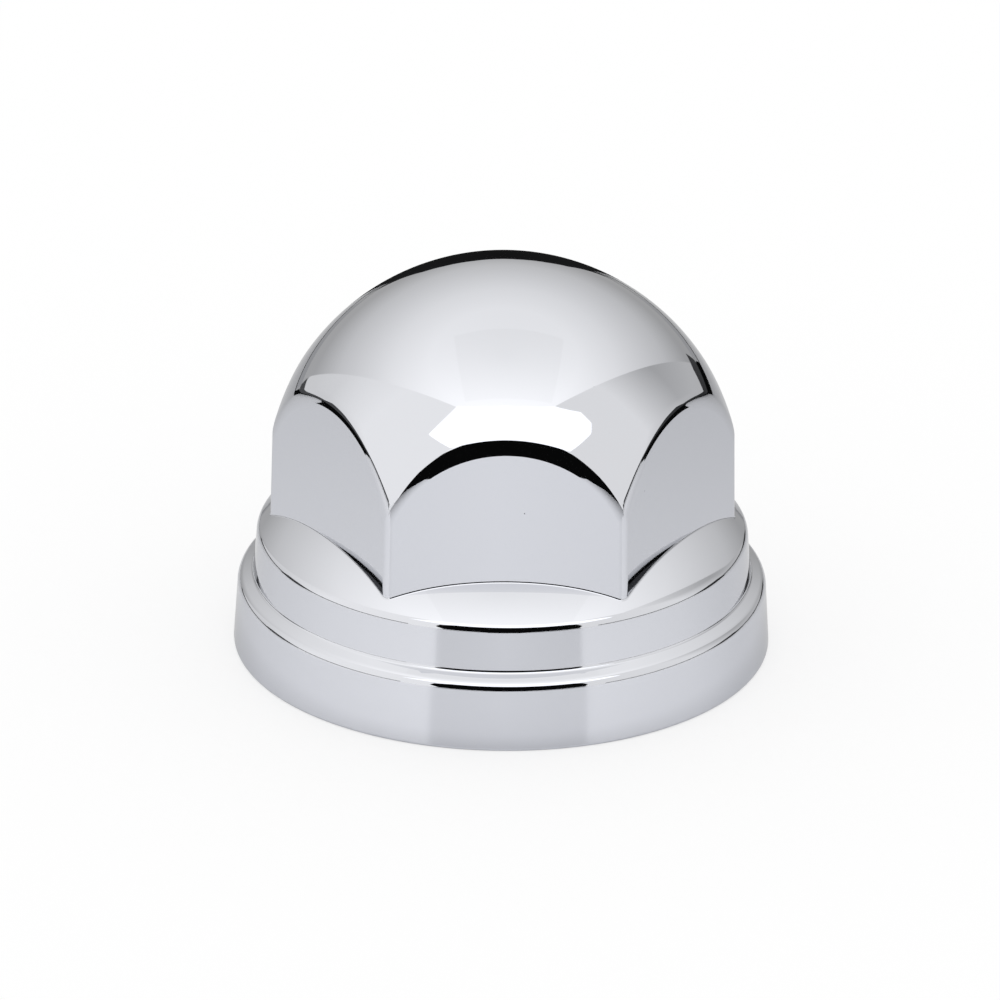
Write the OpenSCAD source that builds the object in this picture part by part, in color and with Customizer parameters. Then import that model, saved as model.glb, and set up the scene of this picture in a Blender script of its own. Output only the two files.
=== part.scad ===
// Push-on cover cap for a hexagonal wheel nut, moulded in one piece.
// A domed hexagon stands on a stepped round flange. The cap is hollow: ribs in
// its hexagonal socket grip the nut, and the flange clears the nut's washer.
// The rim lies on the plane z = 0 with its centre at the origin, and one flat
// of the hexagon faces -Y.

/* [Overall] */
// Height from the rim to the top of the dome
total_h = 39.7; // [38:0.1:44]
// Thickness of the moulded wall
wall = 2.2; // [1.6:0.1:2.6]

/* [Lower flange] */
// Outside diameter at the rim
base_d = 53.4; // [52.6:0.1:60]
// Height of the shoulder above the rim
base_h = 6.8; // [6.2:0.1:8]
// Draft of the lower wall in degrees
base_draft = 3.7; // [1:0.1:5]
// Rounding of the lower flange's shoulder
base_round = 1.1; // [0.3:0.05:1.2]
// Rounding of the rim's outer edge
rim_round = 0.3; // [0.1:0.05:0.6]
// Fall of the ledge from the upper wall to the shoulder in degrees
ledge_fall = 24; // [5:1:35]
// Hollow rounding where the upper wall meets the ledge
foot_round = 0.45; // [0.1:0.05:0.6]

/* [Upper flange] */
// Diameter of the upper flange where it meets the ledge
collar_d = 49.5; // [48.4:0.1:50]
// Height of the upper flange's shoulder above the rim
collar_h = 12; // [11:0.1:12.8]
// Draft of the upper wall in degrees
collar_draft = 5; // [1:0.1:8]
// Rounding of the upper flange's shoulder
collar_round = 1.2; // [0.4:0.05:1.6]
// Radius of the crowned slope between the shoulder and the hexagon
slope_r = 17; // [12:0.5:40]

/* [Hexagon] */
// Size across the flats where they meet the slope
hex_af = 40.1; // [38.9:0.1:41]
// Height of the flats' foot above the rim, at the middle of a flat
hex_foot_h = 15; // [14:0.1:16]
// Draft of the flats in degrees
hex_draft = 1.5; // [0.5:0.1:3]
// Rounding of the upright corners
corner_round = 1.05; // [0.4:0.05:2]

/* [Dome] */
// Radius of the dome
dome_r = 23.8; // [23.4:0.1:24.6]
// Rounding of the arched edges between the dome and the flats
arch_round = 2.4; // [0.8:0.1:3.5]

/* [Socket and grip ribs] */
// Size across the flats of the nut that the cap covers
nut_af = 33; // [31:0.5:34]
// How far the nut squeezes each rib
grip = 0.1; // [0:0.05:0.3]
// Width of a rib
rib_w = 1.2; // [0.8:0.1:2]
// Distance between the two ribs of a flat, centre to centre
rib_gap = 9; // [5:0.5:12]
// Height of a rib, which starts level with the foot of the flats
rib_h = 12; // [8:0.5:13]
// Height of the sloped lead-in at a rib's lower end
rib_lead = 2.5; // [1:0.5:4]
// Rounding in the socket's upright corners
socket_corner_round = 0.6; // [0.3:0.1:1.5]
// Rounding of the arched edges inside the dome
socket_arch_round = 0.6; // [0.3:0.1:1.5]

/* [Washer recess] */
// Outside diameter of the nut's washer
washer_d = 46; // [44:0.5:48]
// Clearance all round the washer
washer_gap = 1.2; // [0.5:0.1:1.4]
// Depth of the recess from the rim
washer_bore_h = 5; // [4.2:0.1:5.2]

/* [Hidden] */
$fn = 120;
sides = 6;
side_turn = 360 / sides;
half_turn = side_turn / 2;
// Overlap that keeps cuts and joins clear of each other's faces
spare = 1;
// How far a rounding stands past the sides it meets, so that they cross cleanly
bite = 0.0005;

base_r = base_d / 2;
base_top_r = base_r - base_h * tan(base_draft);
collar_foot_r = collar_d / 2;
ledge_w = base_top_r - collar_foot_r;
ledge_top_h = base_h + ledge_w * tan(ledge_fall);
collar_top_r = collar_foot_r - (collar_h - ledge_top_h) * tan(collar_draft);
dome_z = total_h - dome_r;

// Ends of the crowned slope, at the collar's shoulder and at the flats' foot
collar_shoulder = [collar_top_r, collar_h];
slope_top = [hex_af / 2, hex_foot_h];
slope_centre = arc_centre(slope_top, collar_shoulder, slope_r);

// The hollow keeps the wall's thickness behind the flats, slope and upper wall
socket_apothem = hex_af / 2 - wall / cos(hex_draft);
collar_bore_r = collar_top_r - wall / cos(collar_draft);
washer_bore_r = washer_d / 2 + washer_gap;

function unit(v) = v / norm(v);
function heading(a) = [cos(a), sin(a)];
function left_of(v) = [-v[1], v[0]];

// Centre of the arc from p to q that bulges to the left of the way
function arc_centre(p, q, r) =
    (p + q) / 2 - left_of(unit(q - p)) * sqrt(r * r - pow(norm(q - p) / 2, 2));

// Centre of a rounding in the corner p of two straight sides, which face
// outward along m and n
function corner_seat(p, m, n, r) = p - (m + n) * r / (1 + m * n);

// Centre of a rounding where a straight side through p, which faces outward
// along m and runs on along t, meets an arc of radius big about c
function arc_seat(p, m, t, c, big, r) =
    let (reach = (p - c) * m - r)
    c + m * reach + t * sqrt(pow(big - r, 2) - reach * reach);

// The sliver between a corner and the rounding about seat that takes its place
module sliver(seat, m, n, r) {
    out = r + spare;
    difference() {
        polygon([seat, seat + m * out, seat + (m + n) * out / (1 + m * n), seat + n * out]);
        translate(seat) circle(r + bite);
    }
}

// Half section of the lower flange, filled to the axis
module base_section() {
    wall_side = heading(base_draft);
    ledge_side = heading(90 - ledge_fall);
    shoulder = [base_top_r, base_h];
    under = [0, -1];
    difference() {
        polygon([[0, 0], [base_r, 0], shoulder, [collar_foot_r, ledge_top_h], [0, ledge_top_h]]);
        sliver(corner_seat(shoulder, wall_side, ledge_side, base_round),
               wall_side, ledge_side, base_round);
        sliver(corner_seat([base_r, 0], under, wall_side, rim_round), under, wall_side, rim_round);
    }
}

// Hollow rounding between the ledge and the upper wall
module foot_section() {
    wall_side = -heading(collar_draft);
    ledge_side = -heading(90 - ledge_fall);
    seat = corner_seat([collar_foot_r, ledge_top_h], wall_side, ledge_side, foot_round);
    sliver(seat, wall_side, ledge_side, foot_round);
}

// Half section of the upper flange, filled to the axis
module collar_section() {
    wall_side = heading(collar_draft);
    seat = arc_seat(collar_shoulder, wall_side, left_of(wall_side), slope_centre, slope_r, collar_round);
    base_reach = (ledge_top_h - base_h / 2) * tan(collar_draft);
    difference() {
        intersection() {
            polygon([[0, base_h / 2], [collar_foot_r + base_reach, base_h / 2],
                     collar_shoulder, collar_shoulder + [0, hex_foot_h], [0, collar_h + hex_foot_h]]);
            union() {
                translate(slope_centre) circle(slope_r);
                square([hex_af / 2, hex_foot_h]);
            }
        }
        sliver(seat, wall_side, unit(seat - slope_centre), collar_round);
    }
}

// The flange without its hollow
module flange_body() {
    rotate_extrude() base_section();
    rotate_extrude() collar_section();
    rotate_extrude() foot_section();
}

// A block that holds all that lies behind a flat, which leans in by the draft
module behind_flat(apothem, foot_h, reach) {
    translate([apothem, 0, foot_h])
        rotate([0, -hex_draft, 0])
            translate([-2 * reach, -reach, -reach]) cube([2 * reach, 2 * reach, 2 * reach]);
}

// Cuts an upright corner of the hexagon to a rounding
module corner_cut(apothem, foot_h, r, reach) {
    lean = atan(tan(hex_draft) / cos(half_turn));
    across = cos(hex_draft) * sin(half_turn);
    m = [sqrt(1 - across * across), -across];
    n = [m[0], -m[1]];
    translate([apothem / cos(half_turn), 0, foot_h])
        rotate([0, -lean, 0])
            translate([0, 0, -reach]) linear_extrude(2 * reach)
                sliver(corner_seat([0, 0], m, n, r), m, n, r);
}

// Cuts the arched edge between a flat and the dome to a rounding. It is turned
// about the line through the dome's centre that is square to the flat.
module arch_cut(apothem, foot_h, big, r) {
    face_d = apothem * cos(hex_draft) + (foot_h - dome_z) * sin(hex_draft);
    up = [0, 1];
    seat = arc_seat([0, face_d], up, [1, 0], [0, 0], big, r);
    translate([0, 0, dome_z]) rotate([0, 90 - hex_draft, 0]) rotate([0, 0, 90])
        rotate_extrude(angle = 180) sliver(seat, up, unit(seat), r);
}

// All that lies behind the six flats
module behind_flats(apothem, foot_h, reach) {
    intersection_for(i = [0 : sides - 1])
        rotate([0, 0, i * side_turn]) behind_flat(apothem, foot_h, reach);
}

// A hexagon with drafted flats under a dome, with its edges rounded. The
// outside and the socket of the cap are both drawn by it.
module domed_hexagon(apothem, under_h, big, corner_r, arch_r) {
    reach = 2 * total_h;
    difference() {
        intersection() {
            union() {
                translate([0, 0, dome_z]) sphere(big);
                translate([0, 0, under_h]) cylinder(r = big, h = dome_z - under_h);
            }
            translate([-reach, -reach, under_h]) cube(2 * reach);
            behind_flats(apothem, hex_foot_h, reach);
        }
        for (i = [0 : sides - 1]) rotate([0, 0, i * side_turn]) {
            rotate([0, 0, half_turn]) corner_cut(apothem, hex_foot_h, corner_r, reach);
            arch_cut(apothem, hex_foot_h, big, arch_r);
        }
    }
}

// Half section of the recess under the crowned slope, filled to the axis
module collar_bore_section() {
    intersection() {
        translate([0, washer_bore_h - spare]) square([collar_bore_r, hex_foot_h]);
        union() {
            translate(slope_centre) circle(slope_r - wall);
            square([socket_apothem, hex_foot_h - wall]);
        }
    }
}

// All that is hollow: the socket, the recess under the slope and the washer's
module hollow() {
    domed_hexagon(socket_apothem, washer_bore_h, dome_r - wall,
                  socket_corner_round, socket_arch_round);
    rotate_extrude() collar_bore_section();
    translate([0, 0, -spare]) cylinder(r = washer_bore_r, h = washer_bore_h + spare);
}

// A grip rib on the flat that faces +X, with a round tip and a lead-in below
module rib() {
    tip = nut_af / 2 - grip;
    root = socket_apothem + wall / 2;
    intersection() {
        translate([0, 0, hex_foot_h]) linear_extrude(rib_h) {
            translate([tip + rib_w / 2, 0]) circle(d = rib_w);
            translate([tip + rib_w / 2, -rib_w / 2]) square([root - tip - rib_w / 2, rib_w]);
        }
        rotate([90, 0, 0]) linear_extrude(2 * rib_w, center = true)
            polygon([[root, hex_foot_h], [socket_apothem, hex_foot_h], [tip, hex_foot_h + rib_lead],
                     [tip, hex_foot_h + rib_h + spare], [root, hex_foot_h + rib_h + spare]]);
    }
}

// The whole cap, turned so that a flat faces -Y
module cap() {
    color("silver") rotate([0, 0, half_turn]) {
        difference() {
            union() {
                flange_body();
                domed_hexagon(hex_af / 2, base_h, dome_r, corner_round, arch_round);
            }
            hollow();
        }
        for (i = [0 : sides - 1], side = [-1, 1])
            rotate([0, 0, i * side_turn]) translate([0, side * rib_gap / 2, 0]) rib();
    }
}

cap();
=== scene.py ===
"""Studio scene of a push-on cover cap for a wheel nut: chrome-plated, moulded in one piece.

The cap is drawn here as one fine mesh with exact normals, because bright chrome shows every facet.
Lengths are in millimetres until a mesh is made. The rim lies on z = 0 and a flat faces -Y.
"""

import math

import bpy
import numpy as np
from mathutils import Matrix, Vector


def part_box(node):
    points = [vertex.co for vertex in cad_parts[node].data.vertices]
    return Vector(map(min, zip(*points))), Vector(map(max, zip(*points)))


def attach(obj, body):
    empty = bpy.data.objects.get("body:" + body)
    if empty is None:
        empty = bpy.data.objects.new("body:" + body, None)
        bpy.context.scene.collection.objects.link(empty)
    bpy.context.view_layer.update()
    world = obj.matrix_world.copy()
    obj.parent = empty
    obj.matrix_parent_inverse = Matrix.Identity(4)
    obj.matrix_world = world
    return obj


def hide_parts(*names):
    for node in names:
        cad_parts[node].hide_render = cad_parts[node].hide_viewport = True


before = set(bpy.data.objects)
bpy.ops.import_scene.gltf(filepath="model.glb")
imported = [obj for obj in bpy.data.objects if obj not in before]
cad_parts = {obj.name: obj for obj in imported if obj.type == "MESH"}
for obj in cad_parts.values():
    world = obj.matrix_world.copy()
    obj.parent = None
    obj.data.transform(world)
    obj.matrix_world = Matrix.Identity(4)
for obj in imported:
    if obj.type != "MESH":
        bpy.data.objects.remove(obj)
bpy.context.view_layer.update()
MM = 0.001

# sizes, as in the part's source but for three that are matched more closely to the photograph here,
# where no face moves by more than 0.15: the ledge falls 26 degrees and not 24, the flats lean in 1.15
# degrees and not 1.5, and the arched edges are rounded to 3.0 and not 2.4

CAP_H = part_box("cap")[1][2] / MM
WALL = 2.2

BASE_R, BASE_H = 26.7, 6.8
BASE_DRAFT, LEDGE_FALL = math.radians(3.7), math.radians(26)
BASE_ROUND, RIM_ROUND, FOOT_ROUND = 1.1, 0.3, 0.45

COLLAR_R, COLLAR_H = 24.75, 12.0
COLLAR_DRAFT, COLLAR_ROUND = math.radians(5), 1.2
SLOPE_R = 17.0

FLAT_D, FLAT_FOOT = 20.05, 15.0
FLAT_DRAFT = math.radians(1.15)
CORNER_ROUND, ARCH_ROUND = 1.05, 3.0
DOME_R = 23.8
DOME_Z = CAP_H - DOME_R

WASHER_R, WASHER_H = 24.2, 5.0
NUT_AF, GRIP = 33.0, 0.1
RIB_W, RIB_GAP, RIB_H, RIB_LEAD = 1.2, 9.0, 12.0, 2.5
SOCKET_ROUND = 0.6
# reach of the small hollow that the plating leaves round the foot of the flats
ROOT_REACH = 0.16

SIDES = 6
SECTOR = 2 * math.pi / SIDES
FACING = -math.pi / 2


def heading(angle):
    return np.array([math.cos(angle), math.sin(angle)])


def unit(v):
    return v / np.linalg.norm(v)


def left_of(v):
    return np.array([-v[1], v[0]])


def arc_centre(p, q, radius):
    """Centre of the arc from p to q that bulges to the left of the way."""
    half = np.linalg.norm(q - p) / 2
    return (p + q) / 2 - left_of(unit(q - p)) * math.sqrt(radius**2 - half**2)


def corner_seat(p, m, n, radius):
    """Centre of a rounding in the corner p of two sides that face outward along m and n."""
    return p - (m + n) * radius / (1 + m @ n)


def arc_seat(p, m, along, centre, big, radius):
    """Centre of a rounding between a side through p, facing m, and an arc of radius big."""
    reach = (p - centre) @ m - radius
    return centre + m * reach + along * math.sqrt((big - radius) ** 2 - reach**2)


base_wall, collar_wall = heading(BASE_DRAFT), heading(COLLAR_DRAFT)
ledge_side = heading(math.pi / 2 - LEDGE_FALL)
base_top = np.array([BASE_R - BASE_H * math.tan(BASE_DRAFT), BASE_H])
collar_foot = np.array([COLLAR_R, BASE_H + (base_top[0] - COLLAR_R) * math.tan(LEDGE_FALL)])
collar_top = np.array([COLLAR_R - (COLLAR_H - collar_foot[1]) * math.tan(COLLAR_DRAFT), COLLAR_H])
slope_centre = arc_centre(np.array([FLAT_D, FLAT_FOOT]), collar_top, SLOPE_R)
collar_seat = arc_seat(
    collar_top, collar_wall, left_of(collar_wall), slope_centre, SLOPE_R, COLLAR_ROUND
)
slope_way = unit(collar_seat - slope_centre)
socket_d = FLAT_D - WALL / math.cos(FLAT_DRAFT)
recess_r = collar_top[0] - WALL / math.cos(COLLAR_DRAFT)


# meshes

def column_angles(flat_steps, corner_steps, corner_span):
    """Azimuths round the cap, close together where they cross the hexagon's rounded corners."""
    edge = SECTOR / 2
    flat = np.linspace(0, edge - corner_span, flat_steps + 1)
    corner = np.linspace(edge - corner_span, edge, corner_steps + 1)[1:]
    half = np.concatenate([flat, corner])
    sector = np.concatenate([-half[:0:-1], half[:-1]])
    return np.concatenate([FACING + SECTOR * i + sector for i in range(SIDES)])


def pointing(rises, angles):
    """Unit vectors round the cap that rise from level by the given angles."""
    level = np.cos(rises)
    return np.stack([level * np.cos(angles), level * np.sin(angles), np.sin(rises)], -1)


class Strip:
    """Rows of points round the cap, each with the outward normal that its surface has there."""

    def __init__(self, points, normals):
        self.points, self.normals = points, normals


def turned(profile, normals, angles):
    """A strip of revolution. profile and normals are rows of (radius, height)."""
    ring = np.stack([np.cos(angles), np.sin(angles)], 1)

    def turn(rows):
        rows = np.asarray(rows)
        heights = np.repeat(rows[:, None, 1:], len(angles), 1)
        return np.concatenate([rows[:, None, :1] * ring, heights], 2)

    return Strip(turn(profile), turn(normals))


def straight(p, q, normal, angles, steps=1):
    share = np.linspace(0, 1, steps + 1)[:, None]
    return turned(p + (q - p) * share, np.repeat(normal[None], steps + 1, 0), angles)


def rounded(seat, radius, start, end, angles, steps, hollow=False):
    """A strip with an arc for profile, between two directions seen from the arc's centre."""
    a, b = math.atan2(start[1], start[0]), math.atan2(end[1], end[0])
    b += 2 * math.pi * round((a - b) / (2 * math.pi))
    way = np.linspace(a, b, steps + 1)
    out = np.stack([np.cos(way), np.sin(way)], 1)
    return turned(seat + out * radius, -out if hollow else out, angles)


class DomedHexagon:
    """Six drafted flats under a dome with rounded edges, standing on a crowned slope."""

    # rounds of halving that find a surface, and of settling that find the foot of the flats
    HALVINGS, SETTLINGS = 48, 12

    def __init__(self, flat_d, dome_r, corner_r, arch_r, slope_r):
        self.dome_r, self.corner_r, self.arch_r, self.slope_r = dome_r, corner_r, arch_r, slope_r
        drop = FLAT_FOOT - DOME_Z
        self.face_d = flat_d * math.cos(FLAT_DRAFT) + drop * math.sin(FLAT_DRAFT)
        seat_d = self.face_d - arch_r
        self.seat = np.array([math.sqrt((dome_r - arch_r) ** 2 - seat_d**2), seat_d])
        facings = FACING + SECTOR * np.arange(SIDES)
        cos_d, sin_d = math.cos(FLAT_DRAFT), math.sin(FLAT_DRAFT)
        self.face_normals = np.stack(
            [cos_d * np.cos(facings), cos_d * np.sin(facings), np.full(SIDES, sin_d)], 1
        )

    def depth(self, p):
        """How far outside the form each point is, seen from the dome's centre. Inside is negative."""
        worst = np.full(p.shape[:-1], -np.inf)
        for normal in self.face_normals:
            out = p @ normal
            across = np.linalg.norm(p - out[..., None] * normal, axis=-1)
            v = np.stack([across, out], -1) - self.seat
            from_seat = np.linalg.norm(v, axis=-1)
            aim = unit(self.seat)
            in_rounding = (v[..., 0] > 0) & (v[..., 1] * aim[0] > v[..., 0] * aim[1])
            plain = np.maximum(out - self.face_d, np.linalg.norm(p, axis=-1) - self.dome_r)
            worst = np.maximum(worst, np.where(in_rounding, from_seat - self.arch_r, plain))
        for a, b in zip(self.face_normals, np.roll(self.face_normals, -1, 0)):
            da, db = p @ a - self.face_d, p @ b - self.face_d
            c = a @ b
            # distances from the axis of the corner's rounding, along the two flats' normals
            ra, rb = da + self.corner_r, db + self.corner_r
            from_axis = np.sqrt(np.maximum(ra**2 + rb**2 - 2 * ra * rb * c, 0) / (1 - c**2))
            in_rounding = (ra > c * rb) & (rb > c * ra)
            plain = np.maximum(da, db)
            worst = np.maximum(worst, np.where(in_rounding, from_axis - self.corner_r, plain))
        return worst

    def reach(self, start, way):
        """Distance from each start along each way to the surface."""
        low, high = np.zeros(way.shape[:-1]), np.full(way.shape[:-1], 2.0 * self.dome_r)
        for _ in range(self.HALVINGS):
            mid = (low + high) / 2
            inside = self.depth(start + way * mid[..., None]) < 0
            low, high = np.where(inside, mid, low), np.where(inside, high, mid)
        return (low + high) / 2

    def normals(self, p):
        step = 1e-4
        slope = [self.depth(p + step * axis) - self.depth(p - step * axis) for axis in np.eye(3)]
        slope = np.stack(slope, -1)
        return slope / np.linalg.norm(slope, axis=-1, keepdims=True)

    def slope_height(self, radius):
        return slope_centre[1] + np.sqrt(self.slope_r**2 - (radius - slope_centre[0]) ** 2)

    def foot(self, angles):
        """Radius and height of the line where each column of the hexagon meets the slope."""
        ring = np.stack([np.cos(angles), np.sin(angles), np.zeros(len(angles))], 1)
        height = np.full(len(angles), FLAT_FOOT)
        for _ in range(self.SETTLINGS):
            start = np.zeros((len(angles), 3))
            start[:, 2] = height - DOME_Z
            radius = self.reach(start, ring)
            height = self.slope_height(radius)
        return radius, height

    def root(self, angles, lift, steps):
        """The hollow rounding at the foot of the flats, from the slope up. With it come the radius
        where it leaves the slope and the rise, from the dome's centre, where it meets the flats."""
        radius, height = self.foot(angles)
        ring = np.stack([np.cos(angles), np.sin(angles), np.zeros(len(angles))], 1)
        start = np.zeros((len(angles), 3))
        start[:, 2] = height + lift - DOME_Z
        high = self.reach(start, ring)
        out = radius + lift * (self.slope_height(radius) - slope_centre[1]) / self.slope_r
        rows = [(out, self.slope_height(out)), (radius, height), (high, height + lift)]
        share = np.linspace(0, 1, steps + 1)[:, None]
        weights = ((1 - share) ** 2, 2 * share * (1 - share), share**2)
        r, z = (sum(w * row[i] for w, row in zip(weights, rows)) for i in (0, 1))
        lean = np.stack([out - slope_centre[0], self.slope_height(out) - slope_centre[1]]) / self.slope_r
        low_normals = ring * lean[0][:, None] + np.outer(lean[1], [0, 0, 1])
        flat_normals = self.normals(ring * high[:, None] + start)
        normals = low_normals * (1 - share[..., None]) + flat_normals * share[..., None]
        normals /= np.linalg.norm(normals, axis=-1, keepdims=True)
        points = np.stack([r * ring[:, 0], r * ring[:, 1], z], -1)
        return Strip(points, normals), out, np.arctan2(start[:, 2], high)

    def strips(self, angles, flat_steps, arch_steps, dome_steps, rise_foot=None):
        """Flats, arched edges and dome, from the foot up, and the radius of their foot."""
        off = (angles - FACING + SECTOR / 2) % SECTOR - SECTOR / 2
        level, tilt = np.cos(off) * math.cos(FLAT_DRAFT), math.sin(FLAT_DRAFT)
        lean, size = np.arctan2(tilt, level), np.hypot(tilt, level)
        radius, height = self.foot(angles)
        if rise_foot is None:
            rise_foot = np.arctan2(height - DOME_Z, radius)
        edge = np.array([self.seat[0], self.face_d])
        rises = [rise_foot]
        for cosine in (edge[1] / np.linalg.norm(edge), self.seat[1] / np.linalg.norm(self.seat)):
            rises.append(lean + np.arccos(np.minimum(cosine / size, 1)))
        rises.append(np.full(len(angles), math.pi / 2))
        made = []
        for low, high, steps in zip(rises, rises[1:], (flat_steps, arch_steps, dome_steps)):
            rise = low + (high - low) * np.linspace(0, 1, steps + 1)[:, None]
            way = pointing(rise, angles)
            p = way * self.reach(np.zeros_like(way), way)[..., None]
            made.append(Strip(p + [0, 0, DOME_Z], self.normals(p)))
        return made, radius


def slope_strip(angles, radius, form, edge_way, steps):
    """The crowned slope, from the line where the hexagon meets it out to its shoulder."""
    height = form.slope_height(radius)
    inner = np.arctan2(height - slope_centre[1], radius - slope_centre[0])
    outer = math.atan2(edge_way[1], edge_way[0])
    way = outer + (inner - outer) * np.linspace(0, 1, steps + 1)[:, None]
    r = slope_centre[0] + form.slope_r * np.cos(way)
    z = slope_centre[1] + form.slope_r * np.sin(way)
    points = np.stack([r * np.cos(angles), r * np.sin(angles), z], -1)
    return Strip(points, pointing(way, angles))


def inner_strips(angles):
    """The cap's inside, from the pole of the socket's dome down to the rim's inner edge."""
    down, inward = np.array([0.0, -1.0]), np.array([-1.0, 0.0])
    socket = DomedHexagon(socket_d, DOME_R - WALL, SOCKET_ROUND, SOCKET_ROUND, SLOPE_R - WALL)
    inside, socket_r = socket.strips(angles, flat_steps=4, arch_steps=4, dome_steps=28)
    recess_top = np.array([recess_r, socket.slope_height(recess_r)])
    recess_foot = np.array([recess_r, WASHER_H])
    bore_top, bore_foot = np.array([WASHER_R, WASHER_H]), np.array([WASHER_R, 0.0])
    recess_slope = slope_strip(angles, socket_r, socket, recess_top - slope_centre, steps=8)
    strips = [Strip(s.points[::-1], -s.normals[::-1]) for s in inside[::-1] + [recess_slope]]
    return strips + [
        straight(recess_top, recess_foot, inward, angles),
        straight(recess_foot, bore_top, down, angles),
        straight(bore_top, bore_foot, inward, angles),
    ]


def flange_strips(angles):
    """The rim and both flanges, from the rim's inner edge up to the upper shoulder."""
    down = np.array([0.0, -1.0])
    rim_seat = corner_seat(np.array([BASE_R, 0.0]), down, base_wall, RIM_ROUND)
    base_seat = corner_seat(base_top, base_wall, ledge_side, BASE_ROUND)
    foot_seat = corner_seat(collar_foot, -collar_wall, -ledge_side, FOOT_ROUND)
    wall_foot, wall_top = rim_seat + base_wall * RIM_ROUND, base_seat + base_wall * BASE_ROUND
    ledge_edge, ledge_root = base_seat + ledge_side * BASE_ROUND, foot_seat - ledge_side * FOOT_ROUND
    collar_low = foot_seat - collar_wall * FOOT_ROUND
    collar_high = collar_seat + collar_wall * COLLAR_ROUND
    return [
        straight(np.array([WASHER_R, 0.0]), rim_seat + down * RIM_ROUND, down, angles),
        rounded(rim_seat, RIM_ROUND, down, base_wall, angles, steps=6),
        straight(wall_foot, wall_top, base_wall, angles, steps=3),
        rounded(base_seat, BASE_ROUND, base_wall, ledge_side, angles, steps=12),
        straight(ledge_edge, ledge_root, ledge_side, angles, steps=2),
        rounded(foot_seat, FOOT_ROUND, -ledge_side, -collar_wall, angles, steps=8, hollow=True),
        straight(collar_low, collar_high, collar_wall, angles, steps=3),
        rounded(collar_seat, COLLAR_ROUND, collar_wall, slope_way, angles, steps=12),
    ]


def cap_strips():
    """Every strip of the cap, from the pole of the dome's inside round the rim and up to the top."""
    angles = column_angles(flat_steps=22, corner_steps=8, corner_span=math.radians(1.6))
    shell = DomedHexagon(FLAT_D, DOME_R, CORNER_ROUND, ARCH_ROUND, SLOPE_R)
    root, root_r, rise_foot = shell.root(angles, ROOT_REACH, steps=5)
    slope = slope_strip(angles, root_r, shell, slope_way, steps=12)
    outside, _ = shell.strips(angles, flat_steps=5, arch_steps=8, dome_steps=56, rise_foot=rise_foot)
    return inner_strips(angles) + flange_strips(angles) + [slope, root] + outside


def mesh_from_strips(name, strips):
    """One closed mesh: strips share the rows where they meet and keep their own normals there."""
    columns = strips[0].points.shape[1]
    rows = [strips[0].points[:1]] + [s.points[1:] for s in strips]
    rows = np.concatenate(rows)
    poles = [rows[0].mean(0), rows[-1].mean(0)]
    ring_count = len(rows) - 2
    verts = np.concatenate([poles[:1], rows[1:-1].reshape(-1, 3), poles[1:]])
    last = len(verts) - 1

    def vertex(row, column):
        if row == 0:
            return 0
        if row == ring_count + 1:
            return last
        return 1 + (row - 1) * columns + column % columns

    faces, corner_normals, row = [], [], 0
    for strip in strips:
        for k in range(len(strip.points) - 1):
            for c in range(columns):
                loop = [(row, c, k), (row, c + 1, k), (row + 1, c + 1, k + 1), (row + 1, c, k + 1)]
                if row == 0:
                    loop = loop[1:]
                    loop[0] = (0, c, k)
                elif row == ring_count:
                    loop = loop[:3]
                ids = [vertex(r, q) for r, q, _ in loop]
                faces.append(ids)
                corner_normals += [strip.normals[j, q % columns] for _, q, j in loop]
            row += 1
    mesh = bpy.data.meshes.new(name)
    mesh.from_pydata((verts * MM).tolist(), [], faces)
    mesh.polygons.foreach_set("use_smooth", [True] * len(mesh.polygons))
    mesh.normals_split_custom_set([tuple(n) for n in corner_normals])
    mesh.update()
    return mesh


def grip_ribs(nose_points=17, lead_points=13, sharp=math.radians(35)):
    """Twelve ribs inside the socket, each sunk in the wall, with a round tip and a sloped lead-in."""
    tip, root, reach = NUT_AF / 2 - GRIP, socket_d + WALL / 2, RIB_W / 2
    turn = np.linspace(-math.pi / 2, math.pi / 2, nose_points)
    nose = np.stack([tip + reach - reach * np.cos(turn), reach * np.sin(turn)], 1)
    plan = np.concatenate([nose, [[root, reach], [root, -reach]]])
    rises = np.append(np.linspace(0, RIB_LEAD, lead_points), RIB_H)
    verts, faces = [], []
    for facing in FACING + SECTOR * np.arange(SIDES):
        out, aside = heading(facing), left_of(heading(facing))
        for place in (-RIB_GAP / 2, RIB_GAP / 2):
            start, count = len(verts), len(plan)
            for rise in rises:
                cut = socket_d + (tip - socket_d) * min(rise / RIB_LEAD, 1)
                for x, y in plan:
                    flat = out * max(x, cut) + aside * (place + y)
                    verts.append((flat[0], flat[1], FLAT_FOOT + rise))
            for row in range(len(rises) - 1):
                low, high = start + row * count, start + (row + 1) * count
                for k in range(count):
                    after = (k + 1) % count
                    faces.append((low + after, low + k, high + k, high + after))
            faces.append([start + k for k in range(count)])
            faces.append([start + (len(rises) - 1) * count + k for k in reversed(range(count))])
    mesh = bpy.data.meshes.new("grip_ribs")
    mesh.from_pydata((np.array(verts) * MM).tolist(), [], faces)
    mesh.validate()
    mesh.shade_smooth()
    mesh.set_sharp_from_angle(angle=sharp)
    return mesh


# finishes

# the chrome: width and depth of its ripple, width of a wiped patch and the roughness that wiping
# leaves at least and at most, and the pinholes' spacing, radius and roughness
RIPPLE, RIPPLE_DEPTH = 9.0, 0.004
WIPED_PATCH, WIPED_LEAST, WIPED_MOST = 12.0, 0.022, 0.045
PINHOLE_GAP, PINHOLE_R, PINHOLE_DULL = 5.0, 0.09, 0.4


def linear(hex_colour):
    """An sRGB hex colour as linear red, green, blue and full alpha."""
    shares = [int(hex_colour[i:i + 2], 16) / 255 for i in (1, 3, 5)]
    return tuple(s / 12.92 if s <= 0.04045 else ((s + 0.055) / 1.055) ** 2.4 for s in shares) + (1.0,)


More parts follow.
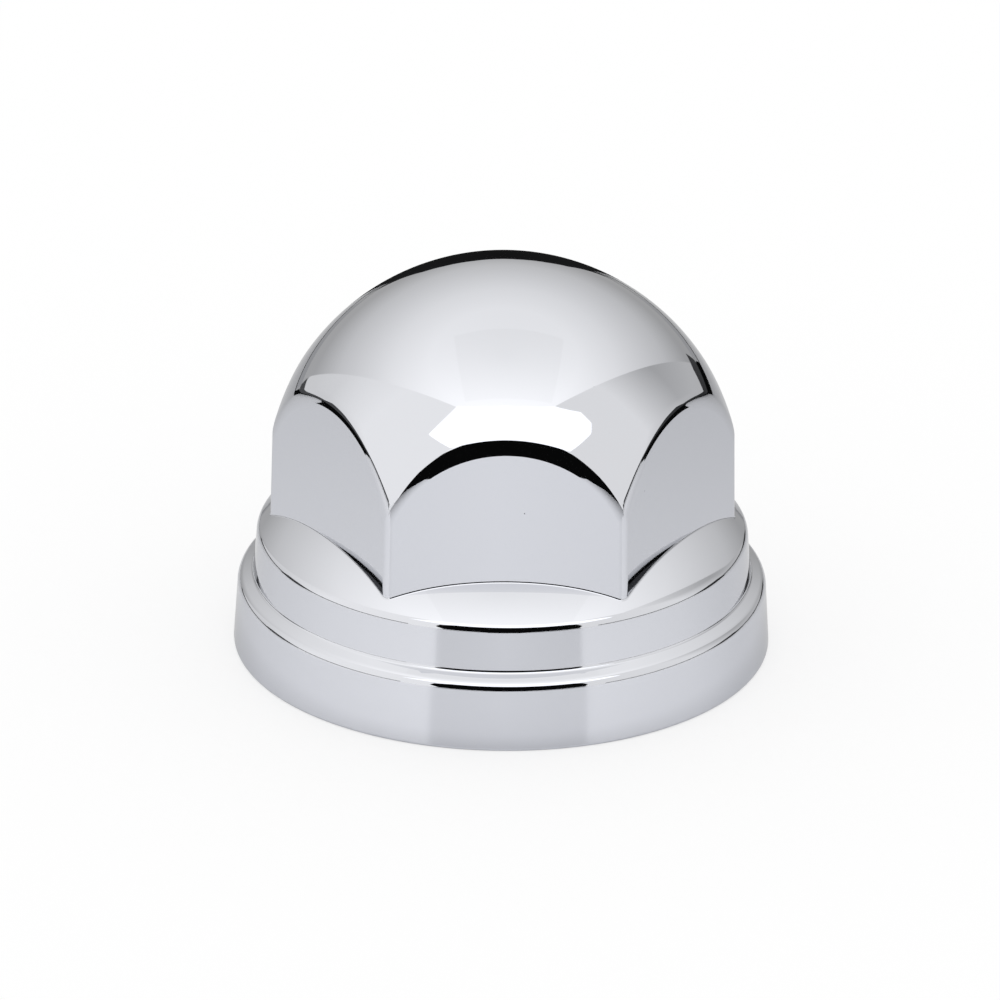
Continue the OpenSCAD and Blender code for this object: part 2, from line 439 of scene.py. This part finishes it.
def add(tree, kind, links=None, stops=None, **settings):
    """Adds a node with its settings and its links. A link is a node, a socket or a plain value."""
    made = tree.nodes.new(kind)
    for key, value in settings.items():
        setattr(made, key, value)
    for key, value in (links or {}).items():
        if isinstance(value, bpy.types.Node):
            value = next(socket for socket in value.outputs if socket.enabled)
        if isinstance(value, bpy.types.NodeSocket):
            tree.links.new(value, made.inputs[key])
        else:
            made.inputs[key].default_value = value
    if stops:
        ramp = made.color_ramp
        for place, _ in stops[2:]:
            ramp.elements.new(place)
        for element, (place, colour) in zip(ramp.elements, stops):
            element.position, element.color = place, colour
    return made


def new_material(name):
    material = bpy.data.materials.new(name)
    material.use_nodes = True
    material.node_tree.nodes.clear()
    return material, material.node_tree


def chrome_plated_abs():
    """Bright chromium over nickel on moulded ABS: a cool mirror, a little softer than chromed steel,
    that grows hardly brighter at a low angle. The moulding's faint ripple makes reflected edges wander,
    wiping leaves soft patches, and a few pinholes in the plating show as dull specks."""
    material, tree = new_material("chrome_plated_abs")
    place = add(tree, "ShaderNodeTexCoord").outputs["Object"]
    ripple = add(tree, "ShaderNodeTexNoise", {
        "Vector": place, "Scale": 1 / (RIPPLE * MM), "Detail": 0.0,
    })
    swell = add(tree, "ShaderNodeBump", {"Height": ripple, "Distance": RIPPLE_DEPTH * MM})
    patches = add(tree, "ShaderNodeTexNoise", {
        "Vector": place, "Scale": 1 / (WIPED_PATCH * MM), "Detail": 3.0,
    })
    wiped = add(tree, "ShaderNodeMapRange", {
        "Value": patches, "From Min": 0.35, "From Max": 0.7, "To Min": WIPED_LEAST, "To Max": WIPED_MOST,
    })
    cells = add(tree, "ShaderNodeTexVoronoi", {"Vector": place, "Scale": 1 / (PINHOLE_GAP * MM)})
    pinhole = add(tree, "ShaderNodeMapRange", {
        "Value": cells.outputs["Distance"], "From Min": 0.5 * PINHOLE_R / PINHOLE_GAP,
        "From Max": PINHOLE_R / PINHOLE_GAP, "To Min": 1.0, "To Max": 0.0,
    })
    colour = add(tree, "ShaderNodeMix", {
        "Factor": pinhole, "A": linear("#D9DBE2"), "B": linear("#8A8C92"),
    }, data_type="RGBA")
    softness = add(tree, "ShaderNodeMix", {
        "Factor": pinhole, "A": wiped, "B": PINHOLE_DULL,
    }, data_type="FLOAT")
    plating = add(tree, "ShaderNodeBsdfPrincipled", {
        "Base Color": colour.outputs["Result"], "Metallic": 1.0, "Roughness": softness,
        "Specular Tint": linear("#F2F2F2"), "Normal": swell,
    })
    add(tree, "ShaderNodeOutputMaterial", {"Surface": plating})
    return material


def laminate_with_painted_shade():
    """White satin laminate under the cap. The chrome sees its faint mirror of the dark opening, and
    painted shade that darkens it towards the back, the sides and round the cap's foot, and a painted
    glow. The camera sees it plain white, with the cap's shadow."""
    material, tree = new_material("white_laminate_painted_shade")
    place = add(tree, "ShaderNodeTexCoord").outputs["Object"]
    across = add(tree, "ShaderNodeSeparateXYZ", {0: place})
    # painted shade: the sheet darkens towards the back
    depth = add(tree, "ShaderNodeMapRange", {
        "Value": across.outputs["Y"], "From Min": FLOOR_NEAR * MM, "From Max": FLOOR_FAR * MM,
    })
    shade = add(tree, "ShaderNodeValToRGB", {"Fac": depth}, stops=[
        (0.0, linear("#FFFFFF")), (0.45, linear("#EFEFEF")), (1.0, linear("#DADADA")),
    ])
    reach = add(tree, "ShaderNodeVectorMath", {0: place}, operation="LENGTH").outputs["Value"]
    # painted contact shade: the sheet darkens round the cap's foot
    near = add(tree, "ShaderNodeMapRange", {
        "Value": reach, "From Min": BASE_R * MM, "From Max": (BASE_R + CONTACT_W) * MM,
        "To Min": PAINTED_CONTACT_SHADE,
    }, interpolation_type="SMOOTHSTEP")
    # painted falloff of the light: darker still far back
    far = add(tree, "ShaderNodeMapRange", {
        "Value": across.outputs["Y"], "From Min": PAINTED_FALLOFF_REACH[0] * MM, "From Max": PAINTED_FALLOFF_REACH[1] * MM,
        "To Min": 1.0, "To Max": FAR_PAINTED_LIGHT,
    })
    # painted falloff of the light: the sheet darkens towards both sides, more to the right
    aside = add(tree, "ShaderNodeMapRange", {
        "Value": across.outputs["X"], "From Min": -FLOOR_SIDES * MM, "From Max": FLOOR_SIDES * MM,
    })
    sides = add(tree, "ShaderNodeValToRGB", {"Fac": aside}, stops=[
        (0.0, linear("#E8E8E8")), (0.3, linear("#F4F4F4")), (0.5, linear("#FFFFFF")),
        (0.7, linear("#F2F2F2")), (1.0, linear("#E2E2E2")),
    ])
    # the painted contact shade and falloff, put together
    painted_falloff = add(tree, "ShaderNodeMath", {0: near, 1: far}, operation="MULTIPLY")
    light = add(tree, "ShaderNodeMath", {0: painted_falloff, 1: sides.outputs["Color"]}, operation="MULTIPLY")
    # the sheet's colour, with all its painted shade in it
    white = add(tree, "ShaderNodeMix", {
        "Factor": light, "A": linear("#000000"), "B": shade.outputs["Color"],
    }, data_type="RGBA")
    paper = add(tree, "ShaderNodeBsdfDiffuse", {"Color": white.outputs["Result"]})
    # a painted glow: the sheet gives off light in its painted colour
    lift = add(tree, "ShaderNodeEmission", {"Color": white.outputs["Result"], "Strength": FLOOR_PAINTED_GLOW})
    lit = add(tree, "ShaderNodeAddShader", {0: paper, 1: lift})
    satin = add(tree, "ShaderNodeBsdfAnisotropic", {"Color": linear("#FFFFFF"), "Roughness": 0.2})
    gloss = add(tree, "ShaderNodeFresnel", {"IOR": 1.35})
    sheet = add(tree, "ShaderNodeMixShader", {0: gloss, 1: lit, 2: satin})
    shaded = add(tree, "ShaderNodeBsdfDiffuse", {"Color": linear("#FFFFFF")})
    bright = add(tree, "ShaderNodeEmission", {"Color": linear("#FFFFFF")})
    plain = add(tree, "ShaderNodeMixShader", {0: BACKDROP_GLOW, 1: shaded, 2: bright})
    path = add(tree, "ShaderNodeLightPath")
    seen = add(tree, "ShaderNodeMixShader", {0: path.outputs["Is Glossy Ray"], 1: plain, 2: sheet})
    add(tree, "ShaderNodeOutputMaterial", {"Surface": seen})
    return material


def tent_cloth(name, level=1.0):
    """Thin white cloth lit from outside: brightest high in front, and dimmer low at the back."""
    material, tree = new_material(name)
    place = add(tree, "ShaderNodeTexCoord").outputs["Object"]
    way = add(tree, "ShaderNodeVectorMath", {0: place}, operation="NORMALIZE")
    part = add(tree, "ShaderNodeSeparateXYZ", {0: way})
    rise = add(tree, "ShaderNodeMath", {0: part.outputs["Z"]}, operation="ARCSINE")
    climb = add(tree, "ShaderNodeMath", {0: rise, 1: math.pi / 2}, operation="DIVIDE")
    shade = add(tree, "ShaderNodeValToRGB", {"Fac": climb}, stops=[
        (0.05, linear("#D4D4D4")), (0.22, linear("#E9E9E9")), (0.5, linear("#F8F8F8")),
        (0.67, linear("#FBFBFB")), (0.83, linear("#F5F5F5")), (1.0, linear("#F0F0F0")),
    ])
    height = add(tree, "ShaderNodeMath", {
        0: shade.outputs["Color"], 1: TENT_LIGHT * level,
    }, operation="MULTIPLY")
    front = add(tree, "ShaderNodeMath", {
        0: part.outputs["Y"], 1: -FRONT_LIGHT,
    }, operation="MULTIPLY")
    lean = add(tree, "ShaderNodeMath", {
        0: part.outputs["X"], 1: -SIDE_LOSS, 2: -RIGHT_LOSS,
    }, operation="MULTIPLY_ADD")
    side = add(tree, "ShaderNodeMath", {
        0: part.outputs["X"], 1: lean, 2: height,
    }, operation="MULTIPLY_ADD")
    glow = add(tree, "ShaderNodeMath", {0: side, 1: front}, operation="ADD")
    shine = add(tree, "ShaderNodeEmission", {"Color": linear(WARM_WHITE), "Strength": glow})
    add(tree, "ShaderNodeOutputMaterial", {"Surface": shine})
    return material


def wing_cloth(name, near, far, foot):
    """The tent's side wall, with its light near the front, far back and far back at its foot. It is
    lit from the front, so it dims towards the back."""
    material, tree = new_material(name)
    place = add(tree, "ShaderNodeTexCoord").outputs["Object"]
    way = add(tree, "ShaderNodeVectorMath", {0: place}, operation="NORMALIZE")
    part = add(tree, "ShaderNodeSeparateXYZ", {0: way})
    back = add(tree, "ShaderNodeMapRange", {
        "Value": part.outputs["Y"], "From Min": WING_NEAR, "From Max": WING_FAR,
        "To Min": near, "To Max": far,
    })
    low = add(tree, "ShaderNodeMapRange", {
        "Value": part.outputs["Y"], "From Min": WING_NEAR, "From Max": WING_FAR,
        "To Min": near, "To Max": foot,
    })
    up = add(tree, "ShaderNodeMapRange", {
        "Value": part.outputs["Z"], "From Min": WING_LOW, "From Max": WING_HIGH,
    })
    glow = add(tree, "ShaderNodeMix", {"Factor": up, "A": low, "B": back}, data_type="FLOAT")
    shine = add(tree, "ShaderNodeEmission", {"Color": linear(WARM_WHITE), "Strength": glow})
    add(tree, "ShaderNodeOutputMaterial", {"Surface": shine})
    return material


def softbox_cloth():
    """The softbox's front cloth, the brightest thing that the chrome sees."""
    material, tree = new_material("softbox_cloth")
    shine = add(tree, "ShaderNodeEmission", {"Strength": SOFTBOX_LIGHT})
    add(tree, "ShaderNodeOutputMaterial", {"Surface": shine})
    return material


def black_card_painted_reflection_and_shade():
    """Matt black card and cloth: the dark opening round the lens. The same black also paints the
    opening's mirror image in the sheet, a painted reflection, and the bare floor past the sheet's far
    edge, as painted shade."""
    material, tree = new_material("matt_black_card_painted_reflection_and_shade")
    card = add(tree, "ShaderNodeEmission", {"Color": linear("#0A0A0A")})
    add(tree, "ShaderNodeOutputMaterial", {"Surface": card})
    return material


def back_cloth():
    """The foot of the tent's back, which gets the least light."""
    material, tree = new_material("back_cloth")
    shine = add(tree, "ShaderNodeEmission", {"Color": linear("#A8A8A8")})
    add(tree, "ShaderNodeOutputMaterial", {"Surface": shine})
    return material


def shaded_gap():
    """The unlit room past the floor sheet: darkest straight behind the cap, and dark grey aside."""
    material, tree = new_material("shaded_gap")
    place = add(tree, "ShaderNodeTexCoord").outputs["Object"]
    level = add(tree, "ShaderNodeVectorMath", {0: place, 1: (1, 1, 0)}, operation="MULTIPLY")
    way = add(tree, "ShaderNodeVectorMath", {0: level}, operation="NORMALIZE")
    part = add(tree, "ShaderNodeSeparateXYZ", {0: way})
    spread = add(tree, "ShaderNodeMapRange", {"Value": part.outputs["X"], "From Min": -1.0})
    shade = add(tree, "ShaderNodeValToRGB", {"Fac": spread}, stops=[
        (0.0, linear("#505050")), (0.35, linear("#505050")), (0.41, linear("#202020")),
        (0.5, linear("#181818")), (0.59, linear("#202020")), (0.65, linear("#505050")),
        (0.8, linear("#404040")), (0.88, linear("#303030")), (1.0, linear("#404040")),
    ])
    shine = add(tree, "ShaderNodeEmission", {"Color": shade.outputs["Color"]})
    add(tree, "ShaderNodeOutputMaterial", {"Surface": shine})
    return material


# the studio

TENT_R, TENT_Z = 600.0, 25.0
EYE = np.array([0.0, 0.0, TENT_Z])
WARM_WHITE = "#FFFEFB"
# the tent's light, what the front adds to it, and what it loses at both sides and to the right
TENT_LIGHT, FRONT_LIGHT, SIDE_LOSS, RIGHT_LOSS = 1.3, 0.36, 0.25, 0.04
CEILING_LEVEL, SOFTBOX_LIGHT = 0.965, 1.6
# each wing's light near the front, far back and far back at its foot, and where it changes, as the
# backward and the upward part of the direction there
RIGHT_LIGHTS, LEFT_LIGHTS = (0.97, 0.455, 0.6), (1.1, 0.93, 0.82)
WING_NEAR, WING_FAR, WING_LOW, WING_HIGH = -0.05, 0.45, 0.12, 0.55

# the sheet under the cap, as the chrome sees it, all painted light: where its painted shade dims it, its
# painted glow, the cap's painted contact shade, and how far back its painted falloff reaches
FLOOR_NEAR, FLOOR_FAR, FLOOR_SIDES, FLOOR_HALF = -35.0, 100.0, 80.0, 3000.0
FLOOR_PAINTED_GLOW, BACKDROP_GLOW = 0.07, 0.6
CONTACT_W, PAINTED_CONTACT_SHADE = 6.0, 0.86
PAINTED_FALLOFF_REACH, FAR_PAINTED_LIGHT = (90.0, 420.0), 0.35

# how far the studio's pieces hang from the middle of the cap, and where the floor pieces end
WING_D, SOFTBOX_D, OPENING_D, GAP_D, CEILING_D = 575.0, 565.0, 555.0, 550.0, 500.0
SHADOW_END, CLOTH_END = 560.0, 575.0
# the floor pieces lie on each other, the later ones on top
DARK_LIFT, CLOTH_LIFT, SHADOW_LIFT = 0.1, 0.2, 0.3

# edges of the studio's pieces, as turns from the front to the right and rises from level
SOFTBOX_TOP = [(-49.5, 41.4), (-42.5, 58.0), (-20.0, 62.0), (0.0, 63.3), (20.0, 62.0), (43.6, 57.8),
               (58.8, 49.5), (60.0, 44.0)]
SOFTBOX_FOOT = [(-49.5, 41.0), (-30.0, 38.5), (32.5, 35.0), (56.0, 39.5), (60.0, 43.0)]
OPENING_TOP = [(-30.0, 30.0), (-23.5, 37.5), (0.0, 37.5), (32.5, 35.5), (35.0, 30.0)]
OPENING_FOOT = [(-30.0, 12.0), (-23.5, -12.0), (32.5, -12.0), (35.0, 12.0)]
# the opening's painted reflection in the sheet: a black piece lying on the floor, as places on the floor
PAINTED_OPENING_REFLECTION = [(-9, -94), (11, -94), (30, -150), (66, -220), (160, -400), (290, -560),
              (-226, -560), (-146, -400), (-58, -220), (-26, -150)]
# a slanting plane cuts each side of the tent: its direction, how far off the middle it is, and the
# turns it spans
RIGHT_CUT = ((-0.543, 0.525, 0.655), 0.146, (35.0, 146.0))
LEFT_CUT = ((0.456, 0.566, 0.687), 0.188, (-30.0, -142.0))
WING_FOOT = -2.0
# corners of the ceiling, as shares of its height above the cap
CEILING = [(-0.34, -0.43), (0.41, -0.43), (0.41, 0.28), (-0.34, 0.28)]
# the sheet's far edge and the end of the dark gap past it, as turns and distances
SHEET_EDGE = [(92.0, 300.0), (96.0, 130.0), (112.0, 130.0), (116.0, 420.0), (138.0, 420.0),
              (142.0, 240.0), (150.0, 235.0), (165.0, 212.0), (195.0, 212.0), (210.0, 235.0),
              (222.0, 240.0), (226.0, 420.0), (244.0, 420.0), (248.0, 130.0), (264.0, 130.0),
              (268.0, 300.0)]
SHEET_GAP = [(92.0, 560.0), (150.0, 560.0), (152.0, 256.0), (165.0, 230.0), (195.0, 230.0),
             (210.0, 255.0), (215.0, 258.0), (217.0, 560.0), (268.0, 560.0)]
# the top of the dark band behind the sheet, as turns and rises. It has a column to each half degree
GAP_TOP = [(92.0, 0.0), (100.0, 3.0), (104.0, 4.5), (111.0, 4.5), (115.0, 0.3), (138.0, 0.3),
           (143.0, 2.5), (148.0, 2.0), (151.0, -3.0), (169.0, -3.0), (170.5, 7.0), (173.0, 9.5),
           (177.0, 11.0), (184.0, 11.0), (188.0, 9.5), (190.5, 7.0), (192.5, -3.0), (215.0, -3.0),
           (217.0, 0.6), (222.0, 0.6), (226.0, 0.3), (245.0, 0.3), (249.0, 4.5), (256.0, 4.5),
           (260.0, 3.0), (268.0, 0.0)]
GAP_FOOT, GAP_COLUMNS = -3.0, 352
# the turns that the back's dark and dim pieces span, and those of the low dark band at each side
BACK_SHADOW, BACK_SHADOW_D = (170.5, 191.0), 87.0
BACK_RIGHT, BACK_LEFT = (151.0, 171.0), (190.0, 216.0)
RIGHT_HORIZON, LEFT_HORIZON = (42.0, 92.0), (-42.0, -92.0)
HORIZON_FOOT, HORIZON_TOP = -2.6, 0.3


def bearing(turn, rise, distance):
    """The point in that direction from the middle of the cap."""
    a, b = math.radians(turn), math.radians(rise)
    way = np.array([math.sin(a) * math.cos(b), -math.cos(a) * math.cos(b), math.sin(b)])
    return EYE + distance * way


def place(mesh, material, height=0.0):
    made = bpy.data.objects.new(mesh.name, mesh)
    bpy.context.scene.collection.objects.link(made)
    made.location.z = height * MM
    mesh.materials.append(material)
    return made


def panel(name, verts, faces, material):
    """A piece of the studio that shows only in the chrome. Its origin is the middle of the tent."""
    mesh = bpy.data.meshes.new(name)
    mesh.from_pydata(((np.array(verts) - EYE) * MM).tolist(), [], faces)
    made = place(mesh, material, TENT_Z)
    made.visible_camera = made.visible_diffuse = made.visible_shadow = made.visible_transmission = False
    return made


def between(name, foot, top, material, distance, columns=96, rows=12):
    """Cloth that hangs between two edges, each a list of turns and rises."""
    turns = np.linspace(top[0][0], top[-1][0], columns + 1)
    way = math.copysign(1, turns[-1] - turns[0])
    low, high = (np.interp(turns * way, *(np.array(edge) * (way, 1)).T) for edge in (foot, top))
    verts = [bearing(t, low[i] + (high[i] - low[i]) * row / rows, distance)
             for row in range(rows + 1) for i, t in enumerate(turns)]
    n = columns + 1
    faces = [(k + i, k + i + 1, k + n + i + 1, k + n + i)
             for k in range(0, rows * n, n) for i in range(columns)]
    return panel(name, verts, faces, material)


def tent_dome(material, columns=96, rows=48):
    rises = np.linspace(-90, 90, rows + 1)
    turns = np.arange(columns) * 360 / columns
    verts = [bearing(t, r, TENT_R) for r in rises for t in turns]
    faces = [(k + j, k + (j + 1) % columns, k + columns + (j + 1) % columns, k + columns + j)
             for k in range(0, rows * columns, columns) for j in range(columns)]
    return panel("tent_dome", verts, faces, material)


def on_floor(name, inner, outer, material, height=DARK_LIFT):
    """A flat piece on the floor between two edges, each a list of turns and distances."""
    turns = np.linspace(inner[0][0], inner[-1][0], 1 + round(inner[-1][0] - inner[0][0]))
    verts = [(r * math.sin(math.radians(t)), -r * math.cos(math.radians(t)), height)
             for edge in (inner, outer) for t, r in zip(turns, np.interp(turns, *np.array(edge).T))]
    n = len(turns)
    return panel(name, verts, [(i, i + 1, i + n + 1, i + n) for i in range(n - 1)], material)


def tent_cut(normal, offset, turns, steps=96):
    """The turns and rises where a slanting plane cuts the tent."""
    turns = np.linspace(*turns, steps + 1)
    across = normal[0] * np.sin(np.radians(turns)) - normal[1] * np.cos(np.radians(turns))
    rises = np.arcsin(offset / np.hypot(across, normal[2])) - np.arctan2(across, normal[2])
    return list(zip(turns, np.degrees(rises)))


def build_cap():
    plating = chrome_plated_abs()
    shell = place(mesh_from_strips("cap_shell", cap_strips()), plating)
    ribs = place(grip_ribs(), plating)
    for piece in (shell, ribs):
        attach(piece, "root")
        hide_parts("cap")


def build_floor():
    mesh = bpy.data.meshes.new("floor")
    side = FLOOR_HALF * MM
    corners = [(-side, -side, 0), (side, -side, 0), (side, side, 0), (-side, side, 0)]
    mesh.from_pydata(corners, [], [(0, 1, 2, 3)])
    place(mesh, laminate_with_painted_shade())


def build_tent():
    """The white tent with its softbox, its dark opening, its side walls and its ceiling."""
    tent_dome(tent_cloth("tent_cloth"))
    black = black_card_painted_reflection_and_shade()
    between("softbox", SOFTBOX_FOOT, SOFTBOX_TOP, softbox_cloth(), SOFTBOX_D)
    between("dark_opening", OPENING_FOOT, OPENING_TOP, black, OPENING_D)
    # the opening's painted reflection: a black piece lying on the sheet
    spots = [(x, y, DARK_LIFT) for x, y in PAINTED_OPENING_REFLECTION]
    panel("painted_opening_reflection", spots, [list(range(len(spots)))], black)
    wings = (("right_wing", RIGHT_CUT, RIGHT_LIGHTS), ("left_wing", LEFT_CUT, LEFT_LIGHTS))
    for name, cut, lights in wings:
        edge = tent_cut(*cut)
        foot = [(edge[0][0], WING_FOOT), (edge[-1][0], WING_FOOT)]
        between(name, foot, edge, wing_cloth(name + "_cloth", *lights), WING_D)
    corners = [EYE + CEILING_D * np.array([x, y, 1.0]) for x, y in CEILING]
    panel("ceiling", corners, [(0, 1, 2, 3)], tent_cloth("ceiling_cloth", CEILING_LEVEL))
    return black


def build_room_behind(black):
    """What the chrome sees past the sheet's edge: bare floor in painted shade, a dark band and the
    tent's dim foot.
    """
    gap = shaded_gap()
    # painted shade: the unlit bare floor past the sheet's edge, drawn black
    on_floor("bare_floor", SHEET_EDGE, SHEET_GAP, black)
    foot = [(GAP_TOP[0][0], GAP_FOOT), (GAP_TOP[-1][0], GAP_FOOT)]
    between("gap_behind", foot, GAP_TOP, gap, GAP_D, columns=GAP_COLUMNS)
    # the cap's painted shadow: a dark piece lying on the floor behind the cap
    near, far = ([(turn, reach) for turn in BACK_SHADOW] for reach in (BACK_SHADOW_D, SHADOW_END))
    on_floor("back_shadow", near, far, gap, SHADOW_LIFT)
    cloth = back_cloth()
    for name, turns in (("back_right_cloth", BACK_RIGHT), ("back_left_cloth", BACK_LEFT)):
        near = [spot for spot in SHEET_GAP if turns[0] < spot[0] < turns[1]]
        on_floor(name, near, [(turn, CLOTH_END) for turn in turns], cloth, CLOTH_LIFT)
    for name, turns in (("right_horizon", RIGHT_HORIZON), ("left_horizon", LEFT_HORIZON)):
        foot, top = ([(turn, rise) for turn in turns] for rise in (HORIZON_FOOT, HORIZON_TOP))
        between(name, foot, top, gap, GAP_D)


def build_world():
    world = bpy.data.worlds.new("plain_white")
    bpy.context.scene.world = world
    world.use_nodes = True
    world.node_tree.nodes.clear()
    sky = add(world.node_tree, "ShaderNodeBackground", {"Color": linear("#FFFFFF"), "Strength": 1.0})
    add(world.node_tree, "ShaderNodeOutputWorld", {"Surface": sky})


# the photograph's camera, seen from the centre of the rim
CAMERA_D = 795.0
CAMERA_RISE, CAMERA_TURN, CAMERA_ROLL = math.radians(24.98), math.radians(-0.99), math.radians(0.70)
PIXELS_PER_MM = 10.0065
PICTURE = 1000
RIM_CENTRE = (501.13, 635.44)
SENSOR = 36.0
# nearest and farthest that the camera sees, in metres
SEEN_FROM, SEEN_TO = 0.05, 20


def build_camera():
    """The camera aims past the rim's centre, so that this centre falls at its place in the picture."""
    data = bpy.data.cameras.new("camera")
    camera = bpy.data.objects.new("camera", data)
    bpy.context.scene.collection.objects.link(camera)
    bpy.context.scene.camera = camera
    focal = PIXELS_PER_MM * CAMERA_D
    data.sensor_width, data.lens = SENSOR, focal / PICTURE * SENSOR
    data.clip_start, data.clip_end = SEEN_FROM, SEEN_TO
    level = math.cos(CAMERA_RISE)
    spot = Vector((
        math.sin(CAMERA_TURN) * level, -math.cos(CAMERA_TURN) * level, math.sin(CAMERA_RISE)
    ))
    camera.location = spot * CAMERA_D * MM
    right, down = ((at - PICTURE / 2) / focal for at in RIM_CENTRE)
    view = (-spot).to_track_quat("-Z", "Y").to_matrix()
    roll = Matrix.Rotation(CAMERA_ROLL, 3, "Z")
    aim = Matrix.Rotation(math.atan(down), 3, "X") @ Matrix.Rotation(math.atan(right), 3, "Y")
    camera.rotation_euler = (view @ roll @ aim).to_euler()


build_cap()
build_floor()
build_room_behind(build_tent())
build_world()
build_camera()
bpy.context.scene.view_settings.view_transform = "Standard"
